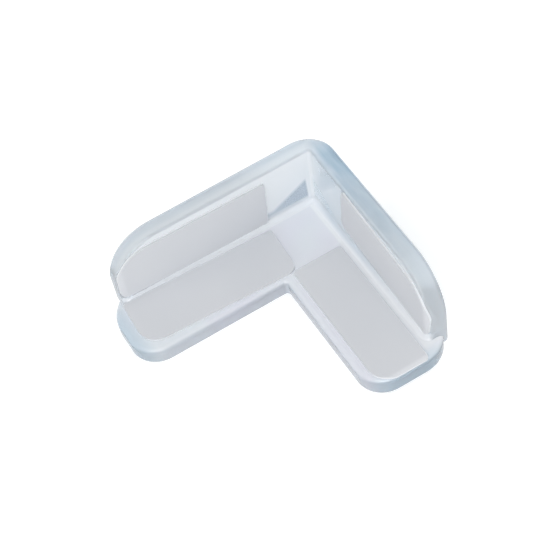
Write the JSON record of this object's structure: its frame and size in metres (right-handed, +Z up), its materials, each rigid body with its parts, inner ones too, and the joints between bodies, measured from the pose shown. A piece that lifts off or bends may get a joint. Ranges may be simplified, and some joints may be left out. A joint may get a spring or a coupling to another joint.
{
  "type": "furniture corner protector",
  "caption": "Clear soft L-shaped guard for the corner of a table or shelf: two walls and a flange, with peel-off adhesive pads on its inner faces.",
  "frame": {"origin": "on the underside, straight below the inner corner where the two walls' inner faces meet", "axes": "+Z up through the walls' height; the left arm runs towards -X and the right arm towards -Y"},
  "size_m": [0.0408, 0.0399, 0.015],
  "materials": {
    "clear_plastic": "clear soft plastic with a pale blue tint in its thick edges, glossy",
    "adhesive": "clear tacky adhesive",
    "liner": "smooth grey release film, satin"
  },
  "bodies": {
    "root": {"corner_guard": "clear_plastic", "left_wall_adhesive": "adhesive", "left_wall_liner": "liner", "left_flange_adhesive": "adhesive", "left_flange_liner": "liner", "right_flange_adhesive": "adhesive", "right_flange_liner": "liner", "right_wall_adhesive": "adhesive", "right_wall_liner": "liner"}
  },
  "joints": []
}
